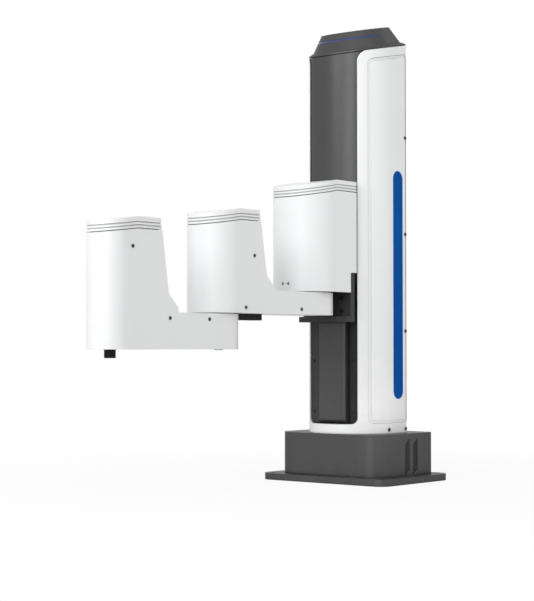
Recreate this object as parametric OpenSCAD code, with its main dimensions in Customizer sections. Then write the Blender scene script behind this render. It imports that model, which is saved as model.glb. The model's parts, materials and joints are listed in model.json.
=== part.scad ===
// Four-axis SCARA robot on a lifting column, millimetres, +Z up.
// The origin is the centre of the floor plate's underside and the arm points along +X.

/* [Base] */
// Length of the floor plate across the arm
plate_w = 230; // [220:1:250]
// Depth of the floor plate along the arm
plate_d = 175; // [170:1:190]
// Thickness of the floor plate
plate_t = 10; // [8:0.5:14]
// Corner radius of the floor plate
plate_r = 20; // [14:1:24]
// Spacing of the floor bolts across the arm
bolt_dy = 200; // [196:1:206]
// Spacing of the floor bolts along the arm
bolt_dx = 144; // [140:1:148]
// Diameter of the floor bolt holes
bolt_d = 9; // [6.5:0.5:11]
// Height of the housing top above the floor
housing_top = 72; // [68:1:84]
// Half width of the base housing
housing_half = 95; // [92:1:98]
// Wall thickness of the base housing
housing_wall = 4; // [3:0.5:5]

/* [Column] */
// Radius of the column's round front, which is also its half width
col_r = 70; // [68:0.5:73]
// Distance from the origin to the axis of the round front, towards the rear
col_cx = 1.3; // [0:0.1:3]
// Distance from the origin to the rear face of the column
col_back = 44; // [43:0.5:48]
// Height of the white shell's top edge above the origin
col_top = 648.2; // [640:0.1:700]
// Slope of the column's top, falling to the front, in degrees
top_slope = 11.6; // [6:0.1:14]
// Wall thickness of the column shell
shell_t = 3; // [2:0.5:3.5]
// Half width of the front opening in the shell
slot_half = 44.3; // [44:0.1:46]
// Height of the front opening's lower edge
slot_z0 = 86; // [82:1:90]
// Distance from the origin to the front face of the spine
spine_front = 58.5; // [57.5:0.1:60]
// Half width of the spine between the two slits
spine_half = 24.7; // [22:0.1:25]
// Width of each slit that a carriage arm runs in
slit_w = 4; // [4:0.5:6]

/* [Carriage] */
// Distance from the origin to the shoulder axis
shoulder_x = 118; // [116:1:124]
// Travel of the carriage below the pose in the photograph
travel_down = 146; // [100:1:146]
// Travel of the carriage above the pose in the photograph
travel_up = 94; // [60:1:94]
// Radius of the carriage cover's round front
tower_r = 48.5; // [47.5:0.5:50]
// Height of the lower face of the carriage cover
tower_z0 = 279.6; // [279:0.1:281]
// Height of the carriage cover at its ridge
tower_z1 = 442.3; // [430:0.5:450]

/* [Arm] */
// Length of each arm link between its axes
link_len = 200; // [180:1:220]
// Half width of the upper arm
upper_r = 38.6; // [37:0.1:40]
// Half width of the forearm
fore_r = 30; // [29:0.5:32]
// Height of the plane where the forearm meets the upper arm
link_z = 245.3; // [245:0.1:246]
// Height of the upper arm's beam
upper_h = 32.4; // [31.5:0.1:32.5]
// Height of the forearm's beam
fore_h = 48.1; // [47:0.1:50]
// Height of the upper arm casing at its ridge
upper_z1 = 387.8; // [380:0.5:395]
// Height of the forearm casing at its ridge
fore_z1 = 365.6; // [360:0.5:372]
// Wall thickness of the cast arm casings
cast_t = 3.5; // [3:0.5:4]
// Diameter of the tool shaft
tool_d = 15; // [14:0.5:16]

/* [Hidden] */
$fn = 72;

col_half = col_r;     // the round front runs straight into the flat sides
white = "#f2f3f4";
dark = "#4b4c4e";
black = "#232425";
blue = "#0b4d97";
metal = "#b9bcc0";
steel = "#8e9297";

fit = 0.1;            // gap all round between a part and the pocket it sits in
run = 0.05;           // radial running clearance of a shaft or bearing seat
gap = 0.5;            // gap between covers that meet edge to edge
big = 900;

housing_front = 73;
housing_back = 70;
housing_rf = 33;
housing_rb = 9;
col_rb = 12;
cover_z0 = 405;       // lower edge of the closed front cover
plate_hx = plate_d / 2;
plate_hy = plate_w / 2;

elbow_x = shoulder_x + link_len;
tool_x = elbow_x + link_len;
fore_top = link_z - 0.7;
fore_bot = link_z - 0.7 - fore_h;
upper_bot = link_z + 0.7;
upper_top = upper_bot + upper_h;

// Rounded outline with one radius at the front corners and another at the rear ones.
module plan(front, back, half, rf, rb, inset = 0) {
  f = front - inset;
  b = back - inset;
  h = half - inset;
  r1 = max(rf - inset, 0.4);
  r2 = max(rb - inset, 0.4);
  translate([-b + r2, -h]) square([f - r1 + b - r2, 2 * h]);
  translate([f - 2 * r1, -(h - r1)]) square([2 * r1, 2 * (h - r1)]);
  translate([-b, -(h - r2)]) square([2 * r2, 2 * (h - r2)]);
  for (s = [-1, 1]) {
    translate([f - r1, s * (h - r1)]) circle(r1);
    translate([-b + r2, s * (h - r2)]) circle(r2);
  }
}

module housing_plan(inset = 0) {
  plan(housing_front, housing_back, housing_half, housing_rf, housing_rb, inset);
}

// The column in plan: a round front, straight sides and a flat back with round corners.
module column_plan(inset = 0, corner = 0.4) {
  r = col_r - inset;
  rb = max(col_rb - inset, corner);
  b = col_back - inset;
  translate([-col_cx, 0]) intersection() {
    circle(r);
    translate([-5, -r]) square([r + 5, 2 * r]);
  }
  translate([-b + rb, -r]) square([b - rb - col_cx, 2 * r]);
  translate([-b, -(r - rb)]) square([2 * rb, 2 * (r - rb)]);
  for (s = [-1, 1]) translate([-b + rb, s * (r - rb)]) circle(rb);
}

// Everything below a plane that falls to the front; z is its height above the origin.
module below_slope(z) {
  translate([0, 0, z]) rotate([0, top_slope, 0]) translate([-big / 2, -big / 2, -big]) cube(big);
}

module column_prism(inset, z0, top) {
  intersection() {
    translate([0, 0, z0]) linear_extrude(big) column_plan(inset);
    below_slope(top);
  }
}

// A bar along X, Y or Z through a point, for holes and pins.
module rod(p, dir, d, l, fn = 24) {
  translate(p) rotate(dir == "x" ? [0, 90, 0] : dir == "y" ? [90, 0, 0] : [0, 0, 0])
    cylinder(d = d, h = l, center = true, $fn = fn);
}

module box(x, y, z) {
  translate([x[0], y[0], z[0]]) cube([x[1] - x[0], y[1] - y[0], z[1] - z[0]]);
}

// A screw whose head lies on the face that looks along dir, with a hexagon socket.
module screw(p, dir, d = 3, l = 5) {
  turn = dir == "y" ? [-90, 0, 0] : dir == "-y" ? [90, 0, 0] : dir == "-x" ? [0, -90, 0] :
         dir == "-z" ? [180, 0, 0] : [0, 0, 0];
  translate(p) rotate(turn) difference() {
    union() {
      translate([0, 0, -l]) cylinder(d = d, h = l, $fn = 20);
      translate([0, 0, -0.4]) cylinder(d = 1.8 * d, h = 0.4 * d, $fn = 24);
    }
    translate([0, 0, 0.1]) cylinder(d = 0.95 * d, h = d, $fn = 6);
  }
}

module screw_hole(p, dir, d = 3, l = 5) {
  turn = dir == "y" ? [-90, 0, 0] : dir == "-y" ? [90, 0, 0] : dir == "-x" ? [0, -90, 0] :
         dir == "-z" ? [180, 0, 0] : [0, 0, 0];
  translate(p) rotate(turn) {
    translate([0, 0, -l - fit]) cylinder(d = d + 2 * fit, h = l + 2, $fn = 20);
    translate([0, 0, -0.4]) cylinder(d = 1.8 * d + 2 * fit, h = 2, $fn = 24);
  }
}

module base_plate() {
  color(dark) difference() {
    linear_extrude(plate_t) plan(plate_hx, plate_hx, plate_hy, plate_r, plate_r);
    for (x = [-1, 1], y = [-1, 1]) rod([x * bolt_dx / 2, y * bolt_dy / 2, 0], "z", bolt_d, big, 48);
    for (x = [-50, 50], y = [-1, 1])
      translate([x, y * (housing_half - 14), -1]) cylinder(d = 6.4, h = plate_t + 2);
  }
}

vent_pitch = 4.2;
vent_n = 11;
vent_w = 14.5;
vent_x = [-22.5, -1.5];
vent_z = 38;

// One column of slots that rise to the rear, cut across the housing wall.
module vents(x, side) {
  for (i = [0 : vent_n - 1])
    translate([x, side * (housing_half - housing_wall / 2), vent_z + (i - (vent_n - 1) / 2) * vent_pitch])
      rotate([0, 35, 0]) cube([vent_w, 3 * housing_wall, 2], center = true);
}

top_t = 8;            // thickness of the housing's top wall, which carries the column

module base_housing() {
  color(dark) difference() {
    translate([0, 0, plate_t]) linear_extrude(housing_top - plate_t) housing_plan();
    translate([0, 0, plate_t - 1]) linear_extrude(housing_top - top_t - plate_t + 1)
      difference() {
        housing_plan(housing_wall);
        for (x = [-50, 50], y = [-1, 1]) translate([x, y * (housing_half - 14)]) circle(7);
      }
    for (x = vent_x, s = [-1, 1]) vents(x, s);
    for (x = [-50, 50], y = [-1, 1])
      translate([x, y * (housing_half - 14), plate_t - 1]) cylinder(d = 5, h = 21);
    translate([screw_x, 0, housing_top - top_t - 1]) cylinder(r = 14, h = top_t + 2);
    box([-housing_back - 1, -housing_back + housing_wall + 1], [-port_half, port_half], port_z);
  }
}

inlet_plate_t = 2.5;
port_half = housing_half - 33;
port_z = [plate_t + 12, housing_top - 12];
port_mid = (port_z[0] + port_z[1]) / 2;
inlet_y = 38;
inlet_half = [14, 10];
inlet_z = [port_mid - inlet_half[1], port_mid + inlet_half[1]];
socket_y = [-48, -28, -8, 12];

module connector_panel() {
  color(black) difference() {
    box([-housing_back + 0.8, -housing_back + 0.8 + inlet_plate_t], [-port_half + fit, port_half - fit],
        [port_z[0] + fit, port_z[1] - fit]);
    box([-big, 0], [inlet_y - inlet_half[0], inlet_y + inlet_half[0]], inlet_z);
    for (y = socket_y) rod([-housing_back, y, port_mid], "x", 14, 20, 36);
  }
}

module power_inlet() {
  color(black) difference() {
    box([-housing_back + 0.3, -housing_back + 22],
        [inlet_y - inlet_half[0] + fit, inlet_y + inlet_half[0] - fit],
        [inlet_z[0] + fit, inlet_z[1] - fit]);
    box([-housing_back - 1, -housing_back + 16],
        [inlet_y - inlet_half[0] + 2.5, inlet_y + inlet_half[0] - 2.5],
        [inlet_z[0] + 2.5, inlet_z[1] - 2.5]);
  }
  color(metal) for (d = [[-7, -1.5], [0, 2], [7, -1.5]])
    box([-housing_back + 8, -housing_back + 17], [inlet_y + d[0] - 1, inlet_y + d[0] + 1],
        [port_mid + d[1] - 2, port_mid + d[1] + 2]);
}

// Round sockets with their dust caps on.
module signal_sockets() {
  color(metal) for (y = socket_y) translate([-housing_back, y, port_mid]) rotate([0, 90, 0]) {
    difference() {
      translate([0, 0, -6]) cylinder(d = 17, h = 6.8);
      for (a = [0 : 30 : 330]) rotate(a) translate([8.9, 0, -7]) cylinder(d = 1.6, h = 6, $fn = 16);
    }
    cylinder(d = 14 - 2 * fit, h = 12);
  }
}

inner_half = housing_half - housing_wall - 11;

module power_supply() {
  color(metal) difference() {
    box([-40, 32], [-inner_half, -40], [plate_t, plate_t + 38]);
    for (x = [-34 : 6 : 24]) box([x, x + 3], [-inner_half + 3, -43], [plate_t + 35, plate_t + 39]);
  }
}

module control_board() {
  z = plate_t + 8;
  color("#1f5b3a") box([-40, 34], [inner_half - 38, inner_half], [z, z + 1.6]);
  color(black) {
    box([-30, -12], [inner_half - 28, inner_half - 10], [z + 1.6, z + 4]);
    box([4, 26], [inner_half - 30, inner_half - 20], [z + 1.6, z + 10]);
    for (x = [-32, -22, -12]) translate([x, inner_half - 33.5, z + 1.6]) cylinder(d = 6, h = 12, $fn = 24);
  }
  color(steel) for (x = [-37, 31], y = [inner_half - 35, inner_half - 3])
    translate([x, y, plate_t]) cylinder(d = 5, h = 8, $fn = 24);
}

screw_x = 4;          // axis of the ball screw
screw_d = 12;
lead = 20;            // carriage travel for one turn of the screw
core_front = 0;
core_half = col_half - 18;
core_h = col_top - housing_top - 28.2;
rail_len = cover_z0 - slot_z0 + 11;
rail_y = core_half - 14;
rail_w = 15;
rail_h = 12;
nut_r = 14;

motor_top = housing_top - top_t - fit;
motor_h = 49;

module z_motor() {
  color(black) difference() {
    union() {
      translate([screw_x, 0, motor_top - motor_h]) linear_extrude(motor_h) difference() {
        square(48, center = true);
        for (a = [45 : 90 : 315]) rotate(a) translate([33, 0]) square([6, 20], center = true);
      }
      translate([screw_x, 0, motor_top]) cylinder(r = 13.5, h = 4);
      translate([screw_x, 0, motor_top]) cylinder(d = 6, h = 13);
    }
  }
}

module screw_coupling() {
  color(metal) difference() {
    translate([screw_x, 0, housing_top - 1.5]) cylinder(d = 22, h = 18);
    translate([screw_x, 0, housing_top + 8]) cylinder(d = 8 + 2 * run, h = 12);
    translate([screw_x, 0, housing_top - 2]) cylinder(d = 6 + 2 * run, h = 8);
    for (z = [3 : 4 : 11]) translate([screw_x, 0, housing_top + z]) difference() {
      cylinder(d = 24, h = 1);
      cylinder(d = 17, h = 1);
    }
  }
}

screw_len = cover_z0 - housing_top - 15;    // length of the threaded part

module ball_screw() {
  z0 = housing_top + 10;
  color(steel) {
    translate([screw_x, 0, z0]) cylinder(d = 8, h = 30);
    translate([screw_x, 0, z0 + 30]) cylinder(d = screw_d, h = screw_len);
    translate([screw_x, 0, z0 + 30 + screw_len]) cylinder(d = 8, h = 20);
  }
}

module bearing_block(z, h, bore) {
  difference() {
    box([core_front - 18 + fit, screw_x + 16], [-22 + fit, 22 - fit], [z, z + h]);
    rod([screw_x, 0, z], "z", bore, 3 * h, 48);
  }
}

module lower_screw_bearing() {
  color(metal) bearing_block(housing_top + 20, 18, 8 + 2 * run);
}

module upper_screw_bearing() {
  color(metal) bearing_block(housing_top + 42 + screw_len, 14, 8 + 2 * run);
}

// The extruded profile that everything on the column is fixed to.
module column_core() {
  color(metal) difference() {
    translate([0, 0, housing_top]) linear_extrude(core_h) difference() {
      translate([-36, -core_half]) square([36, 2 * core_half]);
      translate([-18, -22]) square([20, 44]);
      for (y = [-rail_y, rail_y]) translate([-22, y]) circle(d = 14);
      for (y = [-rail_y, rail_y]) translate([-37, y - 3]) square([6, 6]);
      translate([-37, -3]) square([8, 6]);
    }
  }
}

module guide_rails() {
  color(steel) for (s = [-1, 1]) difference() {
    translate([core_front, s * rail_y, slot_z0 + 8]) linear_extrude(rail_len) difference() {
      translate([0, -rail_w / 2]) square([rail_h, rail_w]);
      for (k = [-1, 1]) translate([rail_h * 0.6, k * (rail_w / 2 + 0.6)]) rotate(45) square(3, center = true);
    }
    for (z = [1 : 5]) translate([rail_h - 5, s * rail_y, slot_z0 + 8 + z * 60 - 30])
      rotate([0, 90, 0]) cylinder(d = 7.5, h = 10, $fn = 24);
  }
}

board_h = 122;
board_z0 = cover_z0 + 63;
board_z = [for (k = [0 : 2]) board_z0 + 16 + 36 * k];

module drive_board() {
  color("#1f5b3a")
    box([core_front + 8, core_front + 9.6], [-core_half + 6, core_half - 6], [board_z0, board_z0 + board_h]);
  color(black) {
    for (z = board_z) box([core_front + 9.6, core_front + 16], [-30, -6], [z, z + 22]);
    for (z = board_z) translate([core_front + 9.6, 22, z + 11]) rotate([0, 90, 0]) cylinder(d = 14, h = 18);
  }
  color(steel) for (y = [-core_half + 10, core_half - 10], z = [board_z0 + 6, board_z0 + board_h - 6])
    translate([core_front, y, z]) rotate([0, 90, 0]) cylinder(d = 5, h = 8, $fn = 24);
}

panel_z0 = slot_z0 + 1;
panel_top = col_top - 13;
panel_x = 41.6;       // where the side panel's front edge lies on the round front
panel_t = 1.6;
panel_step = 0.9;     // depth of the rebate round the panel's edge
panel_edge = 4.6;     // inset of the raised field from the panel's opening
stripe_x = -14.2;
stripe_w = 24.7;
stripe_z = [122.4, 463.6];
stripe_t = 0.6;
side_screw_x = -33;
side_screw_z = [224, 369.5, 515];
foot_screw_x = [8.3, -33];
foot_screw_y = sqrt(pow(col_r, 2) - pow(foot_screw_x[0] + col_cx, 2));
flare_r = 19;         // rounding of the shell's top corners beside the opening

// A convex outline, given anticlockwise, grown by r with round corners.
module rounded(pts, r) {
  polygon(pts);
  n = len(pts);
  for (i = [0 : n - 1]) {
    a = pts[i];
    b = pts[(i + 1) % n];
    out = r * [b.y - a.y, a.x - b.x] / norm(b - a);
    translate(a) circle(r);
    polygon([a, b, b + out, a + out]);
  }
}

// A layer of the column's skin between two depths.
module skin(outer, inner, z0 = housing_top, top = col_top) {
  difference() {
    column_prism(outer, z0, top);
    column_prism(inner, z0 - 1, top + 60);
  }
}

// The front opening, with round corners at the foot and flared ones at the top.
module front_opening(grow = 0) {
  h = slot_half + grow;
  r = 9 + grow;
  z0 = slot_z0 - grow;
  zc = col_top - 6 - flare_r;
  translate([12, 0, 0]) rotate([90, 0, 90]) linear_extrude(60) {
    translate([-h + r, z0]) square([2 * (h - r), 2 * r]);
    translate([-h, z0 + r]) square([2 * h, big]);
    for (s = [-1, 1]) {
      translate([s * (h - r), z0 + r]) circle(r);
      difference() {
        translate([s > 0 ? h - 1 : -slot_half - flare_r, zc]) square([flare_r + 1 - grow, 80]);
        translate([s * (slot_half + flare_r), zc]) circle(flare_r - grow);
      }
    }
  }
}

// Outline of a side panel seen from the side: round corners, and a top that follows the slope.
module panel_outline(inset) {
  r = 8 - inset;
  x0 = -37 + 8;
  x1 = panel_x - 8;
  z0 = panel_z0 + 8;
  rounded([[x0, z0], [x1, z0], [x1, panel_top - 8 - tan(top_slope) * x1],
           [x0, panel_top - 8 - tan(top_slope) * x0]], r);
}

// A vertical slab on one side of the column, cut to an outline seen from the side.
module side_slab(side) {
  translate([0, side > 0 ? col_half + 1 : -46, 0]) rotate([90, 0, 0])
    linear_extrude(col_half - 45) children();
}

module stripe_outline(inset) {
  r = stripe_w / 2 - inset;
  for (z = [stripe_z[0] + stripe_w / 2, stripe_z[1] - stripe_w / 2]) translate([stripe_x, z]) circle(r);
  translate([stripe_x - r, stripe_z[0] + stripe_w / 2])
    square([2 * r, stripe_z[1] - stripe_z[0] - stripe_w]);
}

module side_screw_holes(side) {
  for (z = side_screw_z) screw_hole([side_screw_x, side * col_half, z], side > 0 ? "y" : "-y");
}

module column_shell() {
  color(white) difference() {
    skin(0, shell_t);
    front_opening();
    box([-col_back - 1, -col_back + shell_t + 0.1], [-rear_half, rear_half], [housing_top + 8, big]);
    for (s = [-1, 1]) {
      intersection() {
        skin(-1, panel_t, housing_top, col_top + 20);
        side_slab(s) panel_outline(0);
      }
      side_screw_holes(s);
      screw_hole([foot_screw_x[1], s * col_half, housing_top + 5.5], s > 0 ? "y" : "-y");
      screw_hole([foot_screw_x[0], s * foot_screw_y, housing_top + 5.5], s > 0 ? "y" : "-y");
    }
  }
}

// A panel let into the shell, with a rebate round its edge and a pocket for the stripe.
module side_panel(side) {
  color(white) difference() {
    union() {
      intersection() {
        skin(panel_step, panel_t - fit, housing_top, col_top);
        side_slab(side) panel_outline(gap);
      }
      intersection() {
        skin(0, panel_step + 0.3, housing_top, col_top);
        side_slab(side) panel_outline(panel_edge);
      }
    }
    intersection() {
      skin(-1, stripe_t, housing_top, col_top);
      side_slab(side) stripe_outline(0);
    }
    side_screw_holes(side);
  }
}

module side_panel_left() {
  side_panel(1);
}

module side_panel_right() {
  side_panel(-1);
}

module accent_stripe(side) {
  color(blue) intersection() {
    skin(0, stripe_t - fit, housing_top, col_top);
    side_slab(side) stripe_outline(fit);
  }
}

module accent_stripe_left() {
  accent_stripe(1);
}

module accent_stripe_right() {
  accent_stripe(-1);
}

rear_half = 56;
rear_z0 = housing_top + 8 + gap;
rear_screw_z = [14, 195, 376, 557];

// The flat rear cover, let in between the shell's rear edges, with louvres near the top.
module rear_panel() {
  color(dark) difference() {
    intersection() {
      union() {
        box([-col_back, -col_back + shell_t], [-rear_half + gap, rear_half - gap], [rear_z0, big]);
        box([-col_back + shell_t, -col_back + shell_t + 2.5], [-50, 50], [rear_z0 + 6, big]);
      }
      below_slope(col_top);
    }
    for (i = [0 : 9]) box([-col_back - 1, -30], [-28, 28], [rear_z0 + 480 + 7 * i, rear_z0 + 483 + 7 * i]);
    for (y = [-50, 50], z = rear_screw_z) screw_hole([-col_back, y, rear_z0 + z], "-x");
  }
}

spine_back = 36;
spine_t = 3;
foot_r = 8;
tongue_x = [spine_front - 7.2, spine_front - 3.4];

// The raised spine between the slits: a channel section with a tongue at the top that goes through
// the front cover's floor, and a foot rounded back to the shell.
module spine_cover() {
  z1 = cover_z0 - gap;
  z0 = slot_z0 + gap;
  color(dark) difference() {
    union() {
      intersection() {
        translate([0, 0, z0]) linear_extrude(z1 - z0) plan(spine_front, 0, spine_half, 3, 3);
        rotate([90, 0, 0]) linear_extrude(big, center = true)
          rounded([[spine_back + foot_r, z0 + foot_r], [spine_front - foot_r, z0 + foot_r],
                   [spine_front - foot_r, z1 + foot_r], [spine_back + foot_r, z1 + foot_r]], foot_r);
      }
      box(tongue_x, [-spine_half + 4, spine_half - 4], [z1 - 20, z1 + 16]);
    }
    box([0, spine_front - spine_t], [-spine_half + spine_t, spine_half - spine_t], [z0 + 9, z1 - 24]);
    box([0, spine_front - spine_t], [-spine_half + spine_t, spine_half - spine_t], [z1 - 25, z1 - 20]);
    box([0, tongue_x[0]], [-spine_half + spine_t, spine_half - spine_t], [z1 - 25, z1 + 1]);
  }
}

strip_y = spine_half + slit_w;
strip_x = slot_front_x();
strip_pitch = 76;     // spacing of the strips' screws

// X of the shell's outer face at the edge of the front opening.
function slot_front_x() = -col_cx + sqrt(pow(col_r, 2) - pow(slot_half, 2));

// The strip between a slit and the shell, screwed from the front, with a lip behind the shell.
module channel_strip(side) {
  color(dark) difference() {
    union() {
      intersection() {
        box([strip_x - 6.2, strip_x - 2.2], side_span(side, strip_y, big), [0, cover_z0 - gap]);
        front_opening(-0.3);
      }
      box([strip_x - 9.2, strip_x - 6], side_span(side, strip_y, slot_half - 1),
          [slot_z0 + 9, cover_z0 - gap]);
      box([strip_x - 11.8, strip_x - 9], side_span(side, strip_y, slot_half + 4),
          [slot_z0 + 2, cover_z0 - gap]);
    }
    for (k = [0 : 3])
      rod([strip_x - 2, side * (strip_y + slot_half) / 2, slot_z0 + 17 + strip_pitch * k], "x", 5.4, 3.6, 24);
  }
}

function side_span(side, a, b) = side > 0 ? [a, b] : [-b, -a];

module channel_strip_left() {
  channel_strip(1);
}

module channel_strip_right() {
  channel_strip(-1);
}

// The closed front above the slits: a curved face set back in the opening, a layer behind the
// shell's edges and a floor that the spine's tongue goes through.
module upper_front_cover() {
  color(dark) difference() {
    union() {
      intersection() {
        skin(1.5, 3.4, cover_z0, col_top - 0.5);
        front_opening(-0.4);
      }
      intersection() {
        skin(shell_t + 0.3, shell_t + 2.8, cover_z0, col_top - 0.5);
        box([14, 80], [-col_half + 4, col_half - 4], [0, big]);
      }
      intersection() {
        column_prism(1.6, cover_z0, col_top - 0.5);
        box([spine_back, big], [-slot_half + 0.4, slot_half - 0.4], [cover_z0, cover_z0 + 3]);
      }
    }
    box([tongue_x[0] - 0.3, tongue_x[1] + 0.3], [-spine_half + 3.7, spine_half - 3.7],
        [cover_z0 - 1, cover_z0 + 4]);
  }
}

cap_edge = 0.3;       // inset of the cap's flange from the shell's face
cap_inset = 7;        // inset at the foot of the cap's leaning sides
cap_rim = 19;         // inset of the cap's rim
cap_step = 6.5;       // height of the flange and its shoulder
cap_h = 31.5;         // height of the rim above the shell's top edge
light_drop = 12;      // how far the light strip lies below the cap's rim
light_h = 2.4;
light_x = 14;         // the light strip runs round the front only

module slope_slab(z, t) {
  translate([0, 0, z]) rotate([0, top_slope, 0]) translate([-big / 2, -big / 2, 0]) cube([big, big, t]);
}

module cap_layer(inset, z) {
  intersection() {
    linear_extrude(big) column_plan(inset, 10);
    slope_slab(col_top + z, 0.1);
  }
}

// The cap's outer form: a flange that covers the shell's edge, a shoulder, and sides that lean in.
module cap_form(shrink = 0, lower = 0) {
  lean = (cap_rim - cap_inset) / (cap_h - cap_step);
  hull() {
    cap_layer(cap_edge + shrink, gap - lower);
    cap_layer(cap_edge + shrink, gap + 2 - 0.5 * shrink);
    cap_layer(cap_inset + shrink, cap_step - 0.5 * shrink);
  }
  hull() {
    cap_layer(cap_inset + shrink - 2 * lean, cap_step - 2 - 0.5 * shrink);
    cap_layer(cap_rim + shrink, cap_h - shrink);
  }
}

module top_cap() {
  color(dark) difference() {
    cap_form();
    cap_form(3, 1);
    intersection() {
      difference() {
        slope_slab(col_top + cap_h - light_drop - fit, light_h + 2 * fit);
        cap_form(1.6);
      }
      box([light_x - fit, big], [-big, big], [0, big]);
    }
  }
}

module light_strip() {
  color("#2f6fd0") intersection() {
    cap_form();
    difference() {
      slope_slab(col_top + cap_h - light_drop, light_h);
      cap_form(1.5);
    }
    box([light_x, big], [-big, big], [0, big]);
  }
}

module column_screws() {
  color(steel) for (s = [-1, 1]) {
    for (z = side_screw_z) screw([side_screw_x, s * col_half, z], s > 0 ? "y" : "-y");
    screw([foot_screw_x[1], s * col_half, housing_top + 5.5], s > 0 ? "y" : "-y");
    screw([foot_screw_x[0], s * foot_screw_y, housing_top + 5.5], s > 0 ? "y" : "-y");
  }
  color(steel) for (y = [-50, 50], z = rear_screw_z) screw([-col_back, y, rear_z0 + z], "-x");
}

saddle_z = [242, 304];
saddle_x = [22.4, 32];
arm_y = [spine_half + 0.5, strip_y - 0.5];
bracket_x = [59.3, 69.3];
ledge_x = 80.6;       // front end of the bracket's ledge, below the upper arm's root
bracket_z = [236.7, 308];
block_l = 24;
bolt_y = [-27.5, 27.5];
bracket_bolt_z = [for (k = [-1 : 1]) (saddle_z[0] + saddle_z[1]) / 2 + 21 * k];

// The plate inside the column, with the nut's seat behind and two arms that reach out by the slits.
module carriage_saddle() {
  color(metal) difference() {
    union() {
      box(saddle_x, [-core_half - 2, core_half + 2], saddle_z);
      box([screw_x, saddle_x[0]], [-20, 20], [saddle_z[0] + 18, saddle_z[1] - 18]);
      for (s = [-1, 1]) box([saddle_x[1], bracket_x[0]], side_span(s, arm_y[0], arm_y[1]), saddle_z);
    }
    rod([screw_x, 0, saddle_z[0]], "z", 2 * nut_r + 2 * fit, 160, 72);
  }
}

module guide_blocks() {
  color(steel) for (s = [-1, 1], z = [saddle_z[0] + 2, saddle_z[1] - block_l - 2]) difference() {
    box([core_front + 2.5, saddle_x[0]], [s * rail_y - 15, s * rail_y + 15], [z, z + block_l]);
    box([0, rail_h + 0.3], [s * rail_y - rail_w / 2 - 0.3, s * rail_y + rail_w / 2 + 0.3],
        [z - 1, z + block_l + 1]);
  }
}

module ball_nut() {
  color(steel) difference() {
    union() {
      translate([screw_x, 0, saddle_z[0] + 20]) cylinder(r = nut_r, h = 32);
      translate([screw_x, 0, saddle_z[1] - 18 + fit]) cylinder(r = 17.5, h = 8);
    }
    rod([screw_x, 0, saddle_z[0]], "z", screw_d + 2 * run, 200, 72);
  }
}

shelf_z = [281, 291];
shelf_r = tower_r - 4;
bearing_bore = 60;

// Plan of a tower: a round nose about the joint axis and straight sides back to rear_x.
module nose_plan(x, r, rear_x, inset = 0) {
  translate([x, 0]) circle(r - inset);
  translate([rear_x + inset, -(r - inset)]) square([x - rear_x - inset, 2 * (r - inset)]);
}

// The black bracket: an upright plate bolted to the saddle's arms, with a ledge below the upper
// arm's root and a shelf above it that carries the shoulder joint.
module carriage_bracket() {
  color(black) difference() {
    union() {
      box(bracket_x, [-44, 44], bracket_z);
      box([bracket_x[0], ledge_x], [-44, 44], [bracket_z[0], link_z - 0.3]);
      translate([0, 0, shelf_z[0]]) linear_extrude(shelf_z[1] - shelf_z[0])
        nose_plan(shoulder_x, shelf_r, bracket_x[1] - 2);
      for (s = [-1, 1]) rotate([90, 0, 0]) translate([0, 0, s > 0 ? 34 : -40]) linear_extrude(6)
        polygon([[bracket_x[1] - 1, shelf_z[1] - 1], [96, shelf_z[1] - 1], [bracket_x[1] - 1, bracket_z[1]]]);
    }
    rod([shoulder_x, 0, shelf_z[0]], "z", bearing_bore, 40, 96);
    for (y = bolt_y, z = bracket_bolt_z) rod([bracket_x[1], y, z], "x", 9, 12, 24);
  }
}

module shoulder_bearing() {
  color(steel) difference() {
    translate([shoulder_x, 0, shelf_z[0] + 2]) cylinder(d = bearing_bore - 0.02, h = 8);
    translate([shoulder_x, 0, shelf_z[0] + 1]) cylinder(d = 44, h = 10);
  }
}

// A flat strain-wave reducer with a bolt circle in its cover.
module reducer(r, h, bore) {
  difference() {
    union() {
      cylinder(r = r, h = h * 0.45);
      cylinder(r = r - 3, h = h);
    }
    translate([0, 0, -1]) cylinder(r = bore, h = h + 2);
    for (a = [0 : 45 : 315]) rotate(a) translate([r - 7, 0, h - 3]) cylinder(d = 3.4, h = 4, $fn = 20);
  }
}

// A square servo motor with chamfered corners, a flange and an encoder cap.
module servo(w, h) {
  linear_extrude(h * 0.72) difference() {
    square(w, center = true);
    for (a = [45 : 90 : 315]) rotate(a) translate([w * 0.68, 0]) square([w * 0.12, w / 2], center = true);
  }
  translate([0, 0, h * 0.72]) cylinder(d = w * 0.92, h = h * 0.28);
}

shoulder_gear_h = 32;
shoulder_motor_w = 58;
shoulder_motor_h = 92;

module shoulder_reducer() {
  color(metal) translate([shoulder_x, 0, shelf_z[1]]) reducer(tower_r - 8.5, shoulder_gear_h, 9);
}

module shoulder_motor() {
  color(black) translate([shoulder_x, 0, shelf_z[1] + shoulder_gear_h])
    servo(shoulder_motor_w, shoulder_motor_h);
}

// A casing's outer form: a plan extruded up and cut to the side profile.
module cased(profile_y = 120) {
  intersection() {
    children(0);
    rotate([90, 0, 0]) linear_extrude(2 * profile_y, center = true) children(1);
  }
}

tower_rear = 60;
tower_ridge = shoulder_x - 11.5;
tower_drop = 10.5;    // slope of each casing's top towards its nose, in degrees
upper_drop = 9;
fore_drop = 7.3;
line_pitch = 4.1;     // spacing of the three lines below each casing's top
line_depth = 1.2;
line_h = 1.3;
part_gap = 1;         // width of the parting between a casing and its lid
line_top = 6.4;

// The side profile of a tower: level from the rear to the ridge, then falling to the nose.
module tower_profile(rear, ridge, nose, z0, z1, drop) {
  polygon([[rear, z0], [nose, z0], [nose, z1 - tan(drop) * (nose - ridge)], [ridge, z1], [rear, z1]]);
}

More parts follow.
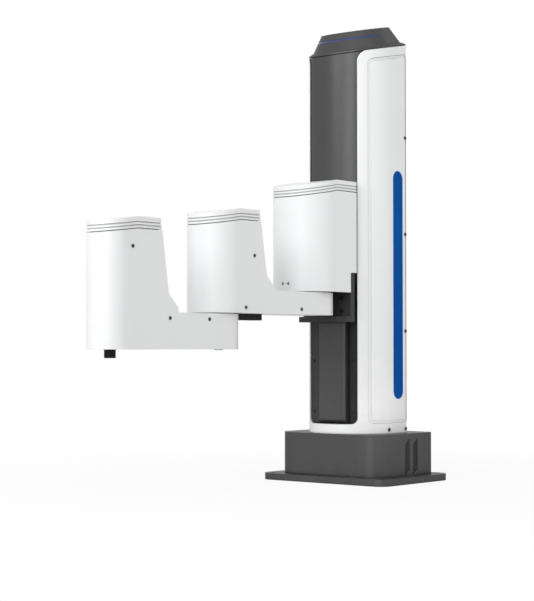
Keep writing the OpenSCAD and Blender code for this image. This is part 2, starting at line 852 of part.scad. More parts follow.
// A thin ring just inside a casing's face that follows its top, k lines down.
module top_line(k, rear, ridge, nose, z1, drop, h = line_h) {
  z = z1 - line_top - k * line_pitch;
  rotate([90, 0, 0]) linear_extrude(240, center = true)
    polygon([[rear - 20, z - h], [ridge, z - h], [nose + 20, z - h - tan(drop) * (nose + 20 - ridge)],
             [nose + 20, z - tan(drop) * (nose + 20 - ridge)], [ridge, z], [rear - 20, z]]);
}

// The parting between casing and lid runs along the lowest line.
lid_k = 2;
lid_skirt = 5;

module lid_cut(rear, ridge, nose, z1, drop, dz = 0) {
  z = z1 - line_top - lid_k * line_pitch - (line_h + part_gap) / 2 - dz;
  rotate([90, 0, 0]) linear_extrude(240, center = true)
    polygon([[rear - 30, z], [ridge, z], [nose + 30, z - tan(drop) * (nose + 30 - ridge)],
             [nose + 30, z + 80], [rear - 30, z + 80]]);
}

// The tower's rear is hollowed round the column's front, which it passes as it rises.
module tower_plan(inset = 0) {
  difference() {
    nose_plan(shoulder_x, tower_r, tower_rear, inset);
    translate([-col_cx, 0]) circle(col_r + 1.5 + inset, $fn = 120);
  }
}

module tower_solid(inset = 0, lift = 0) {
  cased() {
    translate([0, 0, tower_z0 - lift]) linear_extrude(big) tower_plan(inset);
    tower_profile(tower_rear - 1, tower_ridge, shoulder_x + tower_r + 1, tower_z0 - lift, tower_z1 - inset,
                  tower_drop);
  }
}

module carriage_cover() {
  color(white) difference() {
    tower_solid();
    tower_solid(3, 5);
    lid_cut(tower_rear, tower_ridge, shoulder_x + tower_r, tower_z1, tower_drop);
    box([tower_rear - 1, 74.2], [-big, big], [tower_z0 - 1, bracket_z[1] + gap]);
  }
}

// A lid with the two upper lines cut round it and a skirt that drops inside the casing.
module lid(rear, ridge, nose, z1, drop) {
  difference() {
    union() {
      intersection() {
        children(0);
        lid_cut(rear, ridge, nose, z1, drop, -part_gap);
      }
      intersection() {
        children(1);
        lid_cut(rear, ridge, nose, z1, drop, lid_skirt);
      }
    }
    children(2);
    for (k = [0, 1]) difference() {
      top_line(k, rear, ridge, nose, z1, drop);
      children(3);
    }
  }
}

module carriage_lid() {
  color(white) lid(tower_rear, tower_ridge, shoulder_x + tower_r, tower_z1, tower_drop) {
    tower_solid();
    tower_solid(3 + fit);
    tower_solid(5);
    tower_solid(line_depth, 1);
  }
}

module carriage_screws() {
  color(steel) for (y = bolt_y, z = bracket_bolt_z) translate([bracket_x[1] - 6, y, z])
    rotate([0, 90, 0]) difference() {
      cylinder(d = 8.6, h = 4.6, $fn = 24);
      translate([0, 0, 2]) cylinder(d = 4.6, h = 3, $fn = 6);
    }
}

hub_d = 44;
elbow_bore = 56;
elbow_hub_d = 40;
boss_top = upper_bot + 12;

// The flange bolted on the upper arm's root, whose stem turns in the shoulder bearing.
module shoulder_hub() {
  color(steel) difference() {
    union() {
      translate([shoulder_x, 0, upper_top]) cylinder(d = 70, h = 2.2);
      translate([shoulder_x, 0, upper_top]) cylinder(d = hub_d - 2 * run, h = shelf_z[1] - upper_top - gap);
    }
    rod([shoulder_x, 0, upper_top], "z", 17, 40, 48);
    for (a = [0 : 60 : 300]) translate([shoulder_x, 0, upper_top + 1]) rotate(a) translate([28, 0])
      cylinder(d = 6, h = 3, $fn = 24);
  }
}

// Where the sloped rear face of a casing would meet the 45 degree foot without its fillet.
function knee(rear, foot, z_foot, z1, lean) =
  let (t = tan(lean), z = (z_foot + rear - foot - z1 * t) / (1 - t)) [rear - (z1 - z) * t, z];

// Side profile of an arm: a flat beam that sweeps up by a fillet into a leaning, ridged tower.
module arm_profile(tail, nose, rear, ridge, foot, z0, zb, z1, lean, drop) {
  step = 6;
  k = knee(rear, foot, zb + step, z1, lean);
  r = 14;
  half = (180 + 45 - 90 + lean) / 2;
  l = r / tan(half);
  mid = 90 - lean + half;
  up = k + l * [sin(lean), cos(lean)];
  dn = k - l * [sqrt(0.5), sqrt(0.5)];
  c = k + r / sin(half) * [cos(mid), sin(mid)];
  polygon([[tail, z0], [nose, z0], [nose, z1 - tan(drop) * (nose - ridge)], [ridge, z1], [rear, z1], k,
           [foot, zb + step], [foot, zb], [tail, zb]]);
  difference() {
    polygon([k, up, c, dn]);
    translate(c) circle(r + 0.04);
  }
}

module arm_plan(tail_x, nose_x, r, inset = 0) {
  translate([tail_x, 0]) circle(r - inset);
  translate([nose_x, 0]) circle(r - inset);
  translate([tail_x, -(r - inset)]) square([nose_x - tail_x, 2 * (r - inset)]);
}

upper_rear = elbow_x - 49;
upper_ridge = elbow_x - 9.4;
upper_foot = elbow_x - 78.4;
upper_lean = 9.6;
fore_rear = tool_x - 62;
fore_ridge = tool_x - 20;
fore_foot = tool_x - 95;
fore_lean = 8.7;
fore_tail = elbow_x - 2.5;

module upper_form() {
  cased() {
    translate([0, 0, upper_bot]) linear_extrude(upper_z1 - upper_bot) arm_plan(shoulder_x, elbow_x, upper_r);
    arm_profile(shoulder_x - upper_r - 1, elbow_x + upper_r + 1, upper_rear, upper_ridge, upper_foot,
                upper_bot, upper_top, upper_z1, upper_lean, upper_drop);
  }
}

module fore_form() {
  cased() {
    translate([0, 0, fore_bot]) linear_extrude(fore_z1 - fore_bot) arm_plan(fore_tail, tool_x, fore_r);
    arm_profile(fore_tail - fore_r - 1, tool_x + fore_r + 1, fore_rear, fore_ridge, fore_foot,
                fore_bot, fore_top, fore_z1, fore_lean, fore_drop);
  }
}

// The hollow inside an arm casing: the beam's and the tower's, less the walls.
module arm_hollow(tail_x, nose_x, r, rear, foot, z0, zb, z1, lean, drop, ridge, t = cast_t) {
  k = knee(rear, foot, zb + 6, z1, lean);
  cased() {
    translate([0, 0, z0]) linear_extrude(z1) arm_plan(tail_x, nose_x, r, t);
    polygon([[tail_x - r, z0], [nose_x + r, z0], [nose_x + r, z1 - t - tan(drop) * (nose_x + r - ridge)],
             [ridge, z1 - t], [rear + t, z1 - t], [k.x + 1.4 * t, k.y - 0.2 * t], [foot + t, zb - t],
             [tail_x - r, zb - t]]);
  }
}

module upper_hollow(z0, t) {
  arm_hollow(shoulder_x, elbow_x, upper_r, upper_rear, upper_foot, z0, upper_top, upper_z1, upper_lean,
             upper_drop, upper_ridge, t);
}

module fore_hollow(z0, t) {
  arm_hollow(fore_tail, tool_x, fore_r, fore_rear, fore_foot, z0, fore_top, fore_z1, fore_lean, fore_drop,
             fore_ridge, t);
}

upper_screws_at = [[elbow_x - 37.7, upper_z1 - 63.1], [elbow_x - 19.7, upper_bot + 7.6],
                   [shoulder_x + 59.3, upper_bot + 7.2]];
fore_screws_at = [[tool_x - 10.5, fore_z1 - 38.4], [tool_x - 79.2, fore_top - 7.5],
                  [elbow_x + 44.7, fore_top - 7.9]];

module side_holes(pts, r) {
  for (p = pts, s = [-1, 1]) screw_hole([p[0], s * r, p[1]], s > 0 ? "y" : "-y", 2.6, 3);
}

module side_screws(pts, r) {
  color(steel) for (p = pts, s = [-1, 1]) screw([p[0], s * r, p[1]], s > 0 ? "y" : "-y", 2.6, 3);
}

module upper_arm_body() {
  color(white) difference() {
    upper_form();
    difference() {
      upper_hollow(upper_bot + 4, cast_t);
      translate([elbow_x, 0, upper_bot]) cylinder(r = upper_r - 1, h = boss_top - upper_bot);
      translate([shoulder_x, 0, upper_top - 12]) cylinder(r = upper_r - 1, h = 12);
      for (x = [shoulder_x + 32 : 35 : elbow_x - 62])
        box([x, x + 3], [-upper_r, upper_r], [upper_bot, upper_bot + 12]);
    }
    lid_cut(upper_rear, upper_ridge, elbow_x + upper_r, upper_z1, upper_drop);
    translate([elbow_x, 0, upper_bot - 1]) cylinder(d = elbow_bore, h = 40);
    translate([elbow_x, 0, upper_bot - 1]) cylinder(d = elbow_bore + 4, h = 3.4);
    rod([shoulder_x, 0, upper_top], "z", 17, 60, 48);
    side_holes(upper_screws_at, upper_r);
  }
}

module upper_arm_lid() {
  color(white) lid(upper_rear, upper_ridge, elbow_x + upper_r, upper_z1, upper_drop) {
    upper_form();
    upper_hollow(upper_bot, cast_t + fit);
    upper_hollow(upper_bot, cast_t + 2);
    upper_hollow(upper_bot - 1, line_depth);
  }
}

module elbow_bearing() {
  color(steel) difference() {
    translate([elbow_x, 0, boss_top - 9]) cylinder(d = elbow_bore - 0.02, h = 9);
    translate([elbow_x, 0, boss_top - 10]) cylinder(d = elbow_hub_d, h = 11);
  }
}

elbow_gear_h = 24;
elbow_motor_w = 42;
elbow_motor_h = 70;

module elbow_reducer() {
  color(metal) translate([elbow_x, 0, boss_top]) reducer(upper_r - 6.6, elbow_gear_h, 8.5);
}

module elbow_motor() {
  color(black) translate([elbow_x, 0, boss_top + elbow_gear_h]) servo(elbow_motor_w, elbow_motor_h);
}

stop_bolt_x = [elbow_x - 80, elbow_x - 57];

// The block under the upper arm that the forearm's sides meet at the ends of its travel.
module elbow_stop() {
  color(black) difference() {
    box([elbow_x - 89.5, elbow_x - 37.4], [-8, 8], [upper_bot - 9, upper_bot]);
    for (x = stop_bolt_x) translate([x, 0, upper_bot - 10]) cylinder(d = 7, h = 4.5);
  }
}

module upper_arm_screws() {
  side_screws(upper_screws_at, upper_r);
  color(steel) for (x = stop_bolt_x) translate([x, 0, upper_bot - 8.5]) difference() {
    cylinder(d = 6.6, h = 3);
    translate([0, 0, -1]) cylinder(d = 3, h = 2.5, $fn = 6);
  }
}

// The flange bolted on the forearm's tail, whose stem turns in the elbow bearing.
module elbow_hub() {
  color(steel) difference() {
    union() {
      translate([elbow_x, 0, fore_top]) cylinder(d = elbow_bore - 2, h = 3.4);
      translate([elbow_x, 0, fore_top]) cylinder(d = elbow_hub_d - 2 * run, h = boss_top - fore_top - gap);
    }
    rod([elbow_x, 0, fore_top], "z", 16, 40, 48);
  }
}

shaft_shelf = [256, 262];

module forearm_body() {
  color(white) difference() {
    fore_form();
    difference() {
      fore_hollow(fore_bot + 3.5, cast_t);
      translate([tool_x, 0, fore_bot]) cylinder(d = 38, h = 15);
      translate([elbow_x, 0, fore_top - 12]) cylinder(r = 26, h = 12);
      box([tool_x - 90, tool_x + 40], [-fore_r, fore_r], shaft_shelf);
      for (x = [elbow_x + 47 : 38 : tool_x - 38])
        box([x, x + 3], [-fore_r, fore_r], [fore_bot, fore_bot + 12]);
    }
    lid_cut(fore_rear, fore_ridge, tool_x + fore_r, fore_z1, fore_drop);
    translate([tool_x, 0, fore_bot + 4]) cylinder(d = 28, h = 20);
    rod([tool_x, 0, fore_bot], "z", journal_d + 1.4, 140, 60);
    rod([elbow_x, 0, fore_top], "z", 16, 40, 48);
    side_holes(fore_screws_at, fore_r);
    translate([elbow_x - 7, 0, fore_bot - 1]) cylinder(d = 7, h = 6);
  }
}

module forearm_lid() {
  color(white) lid(fore_rear, fore_ridge, tool_x + fore_r, fore_z1, fore_drop) {
    fore_form();
    fore_hollow(fore_bot, cast_t + fit);
    fore_hollow(fore_bot, cast_t + 2);
    fore_hollow(fore_bot - 1, line_depth);
  }
}

journal_d = tool_d + 2;

module tool_bearing() {
  color(steel) difference() {
    translate([tool_x, 0, fore_bot + 4]) cylinder(d = 28 - 0.02, h = 8);
    translate([tool_x, 0, fore_bot + 3]) cylinder(d = journal_d + 2 * run, h = 10);
  }
}

tool_gear_h = 24;
tool_motor_w = 35;
tool_motor_h = 48;

module tool_reducer() {
  color(metal) translate([tool_x, 0, shaft_shelf[1]]) reducer(fore_r - 5, tool_gear_h, 4);
}

module tool_motor() {
  color(black) translate([tool_x, 0, shaft_shelf[1] + tool_gear_h]) servo(tool_motor_w, tool_motor_h);
}

module forearm_plug() {
  color(black) {
    translate([elbow_x - 7, 0, fore_bot - 0.8]) cylinder(d = 12.6, h = 0.8);
    translate([elbow_x - 7, 0, fore_bot - 0.4]) cylinder(d = 7 - 2 * fit, h = 4.5);
  }
}

module forearm_screws() {
  side_screws(fore_screws_at, fore_r);
}

tool_z0 = fore_bot - 11;
tool_free = 10.5;     // length of the shaft's free end, below its journal

// The shaft that carries the tool: bored through, with a wider journal in the bearing.
module tool_shaft() {
  color(black) difference() {
    union() {
      translate([tool_x, 0, tool_z0]) cylinder(d = tool_d, h = tool_free + 1);
      translate([tool_x, 0, tool_z0 + tool_free])
        cylinder(d = journal_d, h = shaft_shelf[0] - 1 - tool_z0 - tool_free);
    }
    rod([tool_x, 0, tool_z0], "z", 6, 400, 36);
  }
}

base_plate();
base_housing();
connector_panel();
power_inlet();
signal_sockets();
power_supply();
control_board();
z_motor();
screw_coupling();
column_core();
guide_rails();
lower_screw_bearing();
upper_screw_bearing();
ball_screw();
drive_board();
column_shell();
side_panel_left();
side_panel_right();
accent_stripe_left();
accent_stripe_right();
rear_panel();
spine_cover();
channel_strip_left();
channel_strip_right();
upper_front_cover();
top_cap();
light_strip();
column_screws();
carriage_saddle();
guide_blocks();
ball_nut();
carriage_bracket();
shoulder_bearing();
shoulder_reducer();
shoulder_motor();
carriage_cover();
carriage_lid();
carriage_screws();
shoulder_hub();
upper_arm_body();
upper_arm_lid();
elbow_bearing();
elbow_reducer();
elbow_motor();
elbow_stop();
upper_arm_screws();
elbow_hub();
forearm_body();
forearm_lid();
tool_bearing();
tool_reducer();
tool_motor();
forearm_plug();
forearm_screws();
tool_shaft();
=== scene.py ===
import json
import math

import bmesh
import bpy
from mathutils import Matrix, Vector


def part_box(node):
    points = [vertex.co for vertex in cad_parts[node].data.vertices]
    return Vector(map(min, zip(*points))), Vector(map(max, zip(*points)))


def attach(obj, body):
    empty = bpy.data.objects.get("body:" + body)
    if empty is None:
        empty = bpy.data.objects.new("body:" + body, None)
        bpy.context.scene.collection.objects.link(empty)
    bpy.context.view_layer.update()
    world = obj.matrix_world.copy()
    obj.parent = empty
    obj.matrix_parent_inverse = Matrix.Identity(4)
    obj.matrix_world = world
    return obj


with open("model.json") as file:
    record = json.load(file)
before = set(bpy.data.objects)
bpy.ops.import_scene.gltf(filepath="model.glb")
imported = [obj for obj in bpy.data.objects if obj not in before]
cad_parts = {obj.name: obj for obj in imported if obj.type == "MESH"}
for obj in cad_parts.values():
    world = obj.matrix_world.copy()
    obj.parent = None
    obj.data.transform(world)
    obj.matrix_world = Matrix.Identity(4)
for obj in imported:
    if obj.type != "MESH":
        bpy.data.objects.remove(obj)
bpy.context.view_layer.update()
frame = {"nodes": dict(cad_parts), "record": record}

nodes = frame["nodes"]
scene = bpy.context.scene

# The photograph's viewpoint, fitted to the floor plate's corners and the joints' axes: angles in
# radians, places in metres, and the focal length in pixels of its frame.
FRAME_WIDTH = 534
FOCAL = 1596.503
YAW = 0.696
PITCH = 0.030
CAMERA_OUT = 2.419915
CAMERA_RIGHT = -0.133186
CAMERA_UP = 0.197841
SENSOR_WIDTH = 36

# Noise nodes give values mostly between these two.
NOISE_LOW = 0.3
NOISE_HIGH = 0.7
# The share of open sky at which a seam counts as closed, and as open, for the painted shade in
# seams.
SEAM_CLOSED = 0.35
SEAM_OPEN = 0.95
TONE_DETAIL = 4
GRAIN_DETAIL = 2
GLOSS_SCALE = 120
BUMP_STRENGTH = 0.5

WELD_GAP = 1e-6
FLAT_WITHIN = math.radians(0.6)
SHARP_FROM = math.radians(32)
ROUND_FROM = math.radians(38)
EDGE_ROUND = 0.0005

FLOOR_HALF = 4.0
FLOOR_DROP = 0.0001
FLOOR_TONE = 0.66
# The share of plain white in what is seen of the floor, within NEAR and beyond FAR metres of the
# origin.
NEAR = 0.25
NEAR_WHITE = 0.92
FAR = 0.9
FAR_WHITE = 1.0
WORLD_LEVEL = 0.37
# About pi squared: with it a white face that looks straight at a lamp renders at the lamp's level.
POWER_PER_LEVEL = 4 * math.pi * 0.79
MIDDLE = (0.15, 0, 0.33)

# Directions from the object: level towards the camera, to the camera's right, and up.
to_camera = Vector((math.cos(YAW), math.sin(YAW), 0))
to_right = Vector((-math.sin(YAW), math.cos(YAW), 0))
to_sky = Vector((0, 0, 1))


def add_object(name, data):
    o = bpy.data.objects.new(name, data)
    scene.collection.objects.link(o)
    return o


cam = add_object("camera", bpy.data.cameras.new("camera"))
scene.camera = cam
cam.data.sensor_fit = "HORIZONTAL"
cam.data.sensor_width = SENSOR_WIDTH
cam.data.lens = FOCAL * SENSOR_WIDTH / FRAME_WIDTH
cam.data.clip_start = 0.05
cam.data.clip_end = 60
backward = to_camera * math.cos(PITCH) - to_sky * math.sin(PITCH)
upward = to_camera * math.sin(PITCH) + to_sky * math.cos(PITCH)
place = to_camera * CAMERA_OUT + to_right * CAMERA_RIGHT + to_sky * CAMERA_UP
turn = Matrix((to_right, upward, backward)).transposed()
cam.matrix_world = Matrix.Translation(place) @ turn.to_4x4()


# Materials
def link(mat, a, b):
    mat.node_tree.links.new(a, b)


def new_material(name):
    mat = bpy.data.materials.new(name)
    mat.use_nodes = True
    mat.node_tree.nodes.clear()
    out = mat.node_tree.nodes.new("ShaderNodeOutputMaterial")
    return mat, out


def noise(mat, coord, scale, detail, stretch=None):
    tree = mat.node_tree
    src = coord.outputs["Object"]
    if stretch:
        m = tree.nodes.new("ShaderNodeMapping")
        m.inputs["Scale"].default_value = stretch
        link(mat, src, m.inputs["Vector"])
        src = m.outputs["Vector"]
    n = tree.nodes.new("ShaderNodeTexNoise")
    n.inputs["Scale"].default_value = scale
    n.inputs["Detail"].default_value = detail
    link(mat, src, n.inputs["Vector"])
    return n.outputs["Fac"]


def ranged(mat, value, to_low, to_high, from_low=NOISE_LOW, from_high=NOISE_HIGH):
    n = mat.node_tree.nodes.new("ShaderNodeMapRange")
    n.inputs["From Min"].default_value = from_low
    n.inputs["From Max"].default_value = from_high
    n.inputs["To Min"].default_value = to_low
    n.inputs["To Max"].default_value = to_high
    link(mat, value, n.inputs["Value"])
    return n.outputs["Result"]


def colour_mix(mat):
    n = mat.node_tree.nodes.new("ShaderNodeMix")
    n.data_type = "RGBA"
    return n


def blend_colour(mat, fac, a, b):
    n = colour_mix(mat)
    n.inputs["A"].default_value = (*a, 1)
    n.inputs["B"].default_value = (*b, 1)
    link(mat, fac, n.inputs["Factor"])
    return n.outputs["Result"]


def painted_crevice_shade(mat, colour, reach, deepest):
    """Painted shade: darkens a colour down to `deepest` in seams and grooves narrower than about
    `reach`, where shade falls.
    """
    sky = mat.node_tree.nodes.new("ShaderNodeAmbientOcclusion")
    sky.samples = 8
    sky.inputs["Distance"].default_value = reach
    n = colour_mix(mat)
    n.blend_type = "MULTIPLY"
    n.inputs["Factor"].default_value = 1.0
    link(mat, colour, n.inputs["A"])
    link(mat, ranged(mat, sky.outputs["AO"], deepest, 1.0, SEAM_CLOSED, SEAM_OPEN), n.inputs["B"])
    return n.outputs["Result"]


def bumped(mat, heights):
    """Chains bump nodes: heights is [(socket, distance), ...]."""
    normal = None
    for height, distance in heights:
        n = mat.node_tree.nodes.new("ShaderNodeBump")
        n.inputs["Strength"].default_value = BUMP_STRENGTH
        n.inputs["Distance"].default_value = distance
        link(mat, height, n.inputs["Height"])
        if normal is not None:
            link(mat, normal, n.inputs["Normal"])
        normal = n.outputs["Normal"]
    return normal


def surface(name, low, high, rough, metal=0.0, spec=0.5, edge_tint=1.0, tone=14, grain=900,
            grain_depth=0.00002, wave=60, wave_depth=0.00003, brushed=None, crevice_shade=None):
    """A finished surface: two close tones, uneven gloss, a fine grain and a slow waviness.

    tone, grain and wave are noise scales, the depths are in metres, brushed stretches the gloss
    and the grain, and the last argument, if given, is the (reach, deepest) of the painted shade
    in seams and grooves."""
    mat, out = new_material(name)
    tree = mat.node_tree
    coord = tree.nodes.new("ShaderNodeTexCoord")
    bsdf = tree.nodes.new("ShaderNodeBsdfPrincipled")
    link(mat, bsdf.outputs["BSDF"], out.inputs["Surface"])
    share = ranged(mat, noise(mat, coord, tone, TONE_DETAIL), 0, 1)
    colour = blend_colour(mat, share, low, high)
    # Painted shade: the colour darkens in seams and grooves.
    if crevice_shade:
        colour = painted_crevice_shade(mat, colour, *crevice_shade)
    link(mat, colour, bsdf.inputs["Base Color"])
    gloss = noise(mat, coord, GLOSS_SCALE, TONE_DETAIL, brushed)
    link(mat, ranged(mat, gloss, *rough), bsdf.inputs["Roughness"])
    fine = noise(mat, coord, grain, GRAIN_DETAIL, brushed)
    slow = noise(mat, coord, wave, GRAIN_DETAIL)
    link(mat, bumped(mat, [(slow, wave_depth), (fine, grain_depth)]), bsdf.inputs["Normal"])
    bsdf.inputs["Metallic"].default_value = metal
    bsdf.inputs["Specular IOR Level"].default_value = spec
    bsdf.inputs["Specular Tint"].default_value = (edge_tint, edge_tint, edge_tint, 1)
    return mat


# The white and the dark paint are darkened in their seams and grooves: painted shade.
LOOK = {
    "white_paint": surface(
        "white_paint", (0.795, 0.80, 0.805), (0.815, 0.82, 0.825), (0.36, 0.44), spec=0.4,
        tone=5, grain=1500, grain_depth=0.000012, wave=180, wave_depth=0.00001,
        crevice_shade=(0.0022, 0.38)),
    "dark_paint": surface(
        "dark_paint", (0.074, 0.0745, 0.076), (0.082, 0.0825, 0.084), (0.31, 0.38), metal=0.5,
        spec=0.10, edge_tint=0.4, tone=8, grain=2600, wave=260, wave_depth=0.00001,
        crevice_shade=(0.003, 0.3)),
    "black_metal": surface(
        "black_metal", (0.006, 0.006, 0.0065), (0.010, 0.010, 0.0105), (0.42, 0.52), spec=0.16,
        tone=20, grain=3200),
    "black_plastic": surface(
        "black_plastic", (0.012, 0.012, 0.013), (0.018, 0.018, 0.019), (0.42, 0.55), spec=0.4,
        tone=18, grain=2200, grain_depth=0.00003),
    "blue_inlay": surface(
        "blue_inlay", (0.001, 0.074, 0.325), (0.002, 0.082, 0.35), (0.40, 0.48), spec=0.02,
        tone=9, grain=1800, grain_depth=0.000008),
    "bare_aluminium": surface(
        "bare_aluminium", (0.50, 0.51, 0.52), (0.58, 0.59, 0.60), (0.30, 0.42), metal=1.0,
        tone=12, grain=700, grain_depth=0.00001, brushed=(1, 1, 8)),
    "steel": surface(
        "steel", (0.34, 0.345, 0.35), (0.42, 0.425, 0.43), (0.24, 0.34), metal=1.0, tone=30,
        grain_depth=0.00001),
    "circuit_board": surface(
        "circuit_board", (0.010, 0.075, 0.035), (0.016, 0.11, 0.05), (0.28, 0.40), tone=60,
        grain=600, grain_depth=0.00004),
    "light_guide": surface(
        "light_guide", (0.026, 0.047, 0.165), (0.034, 0.057, 0.195), (0.22, 0.28), spec=0.4,
        tone=30, grain_depth=0.00001),
}
# Two darker copies of the dark paint for the channel strips beside the spine: painted shade,
# standing in for the shade they lie in.
strip_shade_look = surface(
    "strip_painted_shade", (0.030, 0.0305, 0.032), (0.036, 0.0365, 0.038), (0.46, 0.56), spec=0.25,
    tone=8, grain=2600, grain_depth=0.00003, wave=260, wave_depth=0.00001)
strip_deep_shade_look = surface(
    "strip_deeper_painted_shade", (0.017, 0.0175, 0.018), (0.021, 0.0215, 0.022), (0.46, 0.56), spec=0.16,
    tone=8, grain=2600, grain_depth=0.00003, wave=260, wave_depth=0.00001)
dark_steel = surface(
    "blackened_steel", (0.045, 0.045, 0.047), (0.07, 0.07, 0.072), (0.32, 0.42), metal=0.6,
    tone=40, grain=1400, grain_depth=0.00001)
grey_print = surface(
    "grey_print", (0.10, 0.10, 0.105), (0.13, 0.13, 0.135), (0.45, 0.55), spec=0.3, tone=60,
    grain=2400, grain_depth=0.00001)

# Nodes that look different from the rest of their slot. The channel strips wear darker copies of
# the dark paint, painted shade for the shade they lie in; the carriage bracket wears the lighter
# copy too.
OWN_LOOK = {
    "channel_strip_right": strip_shade_look,
    "carriage_bracket": strip_shade_look,
    "channel_strip_left": strip_deep_shade_look,
    "column_screws": dark_steel,
    "carriage_screws": dark_steel,
    "upper_arm_screws": dark_steel,
    "forearm_screws": dark_steel,
}

for part in frame["record"]["subparts"]:
    look = OWN_LOOK.get(part["node"], LOOK[part["material_slot"]])
    materials = nodes[part["node"]].data.materials
    if not materials:
        materials.append(look)
    for i in range(len(materials)):
        materials[i] = look


# Edges of the CAD pieces
def smooth_group():
    """Shades faces smooth, and keeps edges sharper than SHARP_FROM hard, as a modifier."""
    g = bpy.data.node_groups.new("smooth_by_angle", "GeometryNodeTree")
    g.interface.new_socket("Geometry", in_out="INPUT", socket_type="NodeSocketGeometry")
    g.interface.new_socket("Geometry", in_out="OUTPUT", socket_type="NodeSocketGeometry")
    src = g.nodes.new("NodeGroupInput")
    dst = g.nodes.new("NodeGroupOutput")
    angle = g.nodes.new("GeometryNodeInputMeshEdgeAngle")
    sharp = g.nodes.new("FunctionNodeCompare")
    sharp.data_type = "FLOAT"
    sharp.operation = "GREATER_THAN"
    sharp.inputs[1].default_value = SHARP_FROM
    face = g.nodes.new("GeometryNodeSetShadeSmooth")
    face.domain = "FACE"
    edge = g.nodes.new("GeometryNodeSetShadeSmooth")
    edge.domain = "EDGE"
    edge.inputs["Shade Smooth"].default_value = False
    g.links.new(src.outputs[0], face.inputs["Geometry"])
    g.links.new(face.outputs[0], edge.inputs["Geometry"])
    g.links.new(angle.outputs["Unsigned Angle"], sharp.inputs[0])
    g.links.new(sharp.outputs[0], edge.inputs["Selection"])
    g.links.new(edge.outputs[0], dst.inputs[0])
    return g


SMOOTH = smooth_group()


def ease(o):
    """Welds the imported faces, joins the flat ones, rounds hard edges and smooths the rest."""
    weld = o.modifiers.new("weld", "WELD")
    weld.merge_threshold = WELD_GAP
    planar = o.modifiers.new("planar", "DECIMATE")
    planar.decimate_type = "DISSOLVE"
    planar.angle_limit = FLAT_WITHIN
    edges = o.modifiers.new("edges", "BEVEL")
    edges.limit_method = "ANGLE"
    edges.angle_limit = ROUND_FROM
    edges.width = EDGE_ROUND
    edges.segments = 2
    edges.use_clamp_overlap = True
    smooth = o.modifiers.new("smooth", "NODES")
    smooth.node_group = SMOOTH
    normals = o.modifiers.new("normals", "WEIGHTED_NORMAL")
    normals.keep_sharp = True
    normals.weight = 100


for o in nodes.values():
    ease(o)


# The printed mark
def nose_mark(name, node, height, width, tall, apart, proud=0.0001, sunk=0.0004, steps=4):
    """Two printed arrowheads that face each other across the middle of a round nose.

    The nose is the +X end of the node, and height is above the node's lowest point."""
    low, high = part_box(node)
    radius = (high[1] - low[1]) / 2
    axis_x = high[0] - radius
    axis_y = (high[1] + low[1]) / 2
    middle = low[2] + height
    inner = radius - sunk
    outer = radius + proud
    bm = bmesh.new()
    for side in (-1, 1):
        rings = []
        for k in range(steps + 1):
            share = k / steps
            half = tall / 2 * share
            turned = side * (apart / 2 + width * share) / radius
            corners = ((inner, -half), (outer, -half), (outer, half), (inner, half))
            rings.append([
                bm.verts.new((axis_x + r * math.cos(turned), axis_y + r * math.sin(turned),
                              middle + z))
                for r, z in corners])
        for a, b in zip(rings, rings[1:]):
            for i in range(4):
                bm.faces.new((a[i], a[(i + 1) % 4], b[(i + 1) % 4], b[i]))
        bm.faces.new(rings[-1])
    # The first ring has no height, so its corners fall together into the arrowhead's tip.
    bmesh.ops.remove_doubles(bm, verts=bm.verts, dist=WELD_GAP)
    bmesh.ops.dissolve_degenerate(bm, edges=bm.edges, dist=WELD_GAP)
    bmesh.ops.recalc_face_normals(bm, faces=bm.faces)
    mesh = bpy.data.meshes.new(name)
    bm.to_mesh(mesh)
    bm.free()
    return add_object(name, mesh)


mark = nose_mark("zero_mark", "carriage_cover", height=0.0113, width=0.0042, tall=0.0058,
                 apart=0.0045)
mark.data.materials.append(grey_print)
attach(mark, "carriage")


# Floor, background and lamps
def seen_rays(tree):
    """1 for what the camera, a mirror or glass sees, 0 for light on the object."""
    path = tree.nodes.new("ShaderNodeLightPath")
    result = path.outputs["Is Camera Ray"]
    for ray in ("Is Glossy Ray", "Is Transmission Ray"):
        either = tree.nodes.new("ShaderNodeMath")
        either.operation = "MAXIMUM"
        tree.links.new(result, either.inputs[0])
        tree.links.new(path.outputs[ray], either.inputs[1])
        result = either.outputs[0]
    return result


def floor_material():
    """A pale matt floor that keeps the shadow; what is seen of it is mostly plain white."""
    mat, out = new_material("floor")
    tree = mat.node_tree
    matt = tree.nodes.new("ShaderNodeBsdfDiffuse")
    matt.inputs["Color"].default_value = (FLOOR_TONE, FLOOR_TONE, FLOOR_TONE, 1)
    glowing = tree.nodes.new("ShaderNodeEmission")
    place = tree.nodes.new("ShaderNodeNewGeometry")
    distance = tree.nodes.new("ShaderNodeVectorMath")
    distance.operation = "LENGTH"
    link(mat, place.outputs["Position"], distance.inputs[0])
    share = tree.nodes.new("ShaderNodeMath")
    share.operation = "MULTIPLY"
    white = ranged(mat, distance.outputs["Value"], NEAR_WHITE, FAR_WHITE, NEAR, FAR)
    link(mat, white, share.inputs[0])
    link(mat, seen_rays(tree), share.inputs[1])
    mix = tree.nodes.new("ShaderNodeMixShader")
    link(mat, share.outputs[0], mix.inputs["Fac"])
    link(mat, matt.outputs[0], mix.inputs[1])
    link(mat, glowing.outputs[0], mix.inputs[2])
    link(mat, mix.outputs[0], out.inputs["Surface"])
    return mat


SQUARE = ((-1, -1), (1, -1), (1, 1), (-1, 1))
floor_mesh = bpy.data.meshes.new("floor")
floor_mesh.from_pydata([(x * FLOOR_HALF, y * FLOOR_HALF, -FLOOR_DROP) for x, y in SQUARE],
                       [], [(0, 1, 2, 3)])
floor = add_object("floor", floor_mesh)
floor.data.materials.append(floor_material())

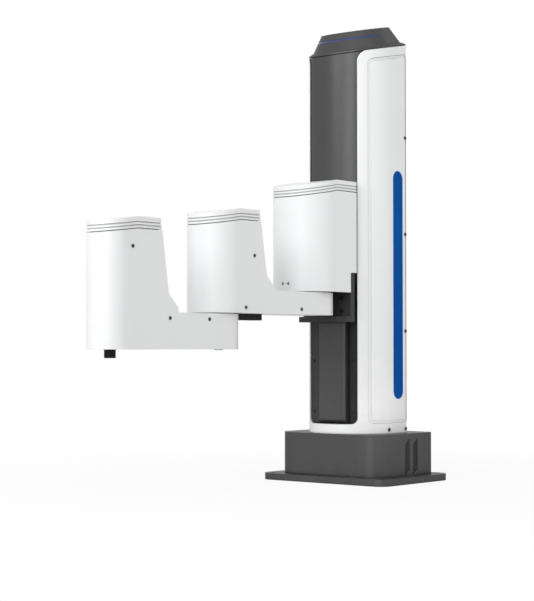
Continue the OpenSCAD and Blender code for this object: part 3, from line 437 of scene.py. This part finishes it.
world = bpy.data.worlds.new("studio")
scene.world = world
world.use_nodes = True
sky_tree = world.node_tree
sky_tree.nodes.clear()
sky_out = sky_tree.nodes.new("ShaderNodeOutputWorld")
white_sky = sky_tree.nodes.new("ShaderNodeBackground")
white_sky.inputs["Color"].default_value = (1, 1, 1, 1)
strength = sky_tree.nodes.new("ShaderNodeMapRange")
strength.inputs["To Min"].default_value = WORLD_LEVEL
strength.inputs["To Max"].default_value = 1.0
sky_tree.links.new(seen_rays(sky_tree), strength.inputs["Value"])
sky_tree.links.new(strength.outputs["Result"], white_sky.inputs["Strength"])
sky_tree.links.new(white_sky.outputs[0], sky_out.inputs["Surface"])


def lamp(name, azimuth, elevation, distance, size, level, target=MIDDLE, in_gloss=True):
    """A round soft lamp.

    azimuth is turned from the camera's own direction, positive to its right; both angles are in
    degrees, and without in_gloss no surface mirrors the lamp."""
    data = bpy.data.lights.new(name, "AREA")
    data.shape = "DISK"
    data.size = size
    data.energy = level * POWER_PER_LEVEL * distance * distance
    a = math.radians(azimuth)
    e = math.radians(elevation)
    level_way = to_camera * math.cos(a) + to_right * math.sin(a)
    way = level_way * math.cos(e) + to_sky * math.sin(e)
    o = add_object(name, data)
    o.location = Vector(target) + way * distance
    o.rotation_mode = "QUATERNION"
    o.rotation_quaternion = way.to_track_quat("Z", "Y")
    o.visible_glossy = in_gloss
    return o


# Name, azimuth, elevation, distance, size and level.
lamp("key", -12, 30, 3.0, 1.5, 0.28)
lamp("key_low", -17, 8, 3.0, 1.5, 0.155)
lamp("left", -50, 30, 3.0, 1.6, 0.35)
lamp("back", -150, 25, 3.0, 2.0, 0.18, in_gloss=False)
lamp("right", 110, 30, 3.0, 1.6, 0.09)
lamp("top", 0, 80, 2.6, 2.0, 0.08)
lamp("fill", 62, 4, 0.85, 0.6, 0.23, target=(-0.02, 0.05, 0.36), in_gloss=False)
# The foot lamp's narrow beam holds all its power, so its level is far below the others'.
foot = lamp("foot", -18, 4, 2.4, 0.16, 0.0006, target=(0.03, 0.03, 0.048), in_gloss=False)
foot.data.spread = math.radians(5)

scene.view_settings.view_transform = "Standard"
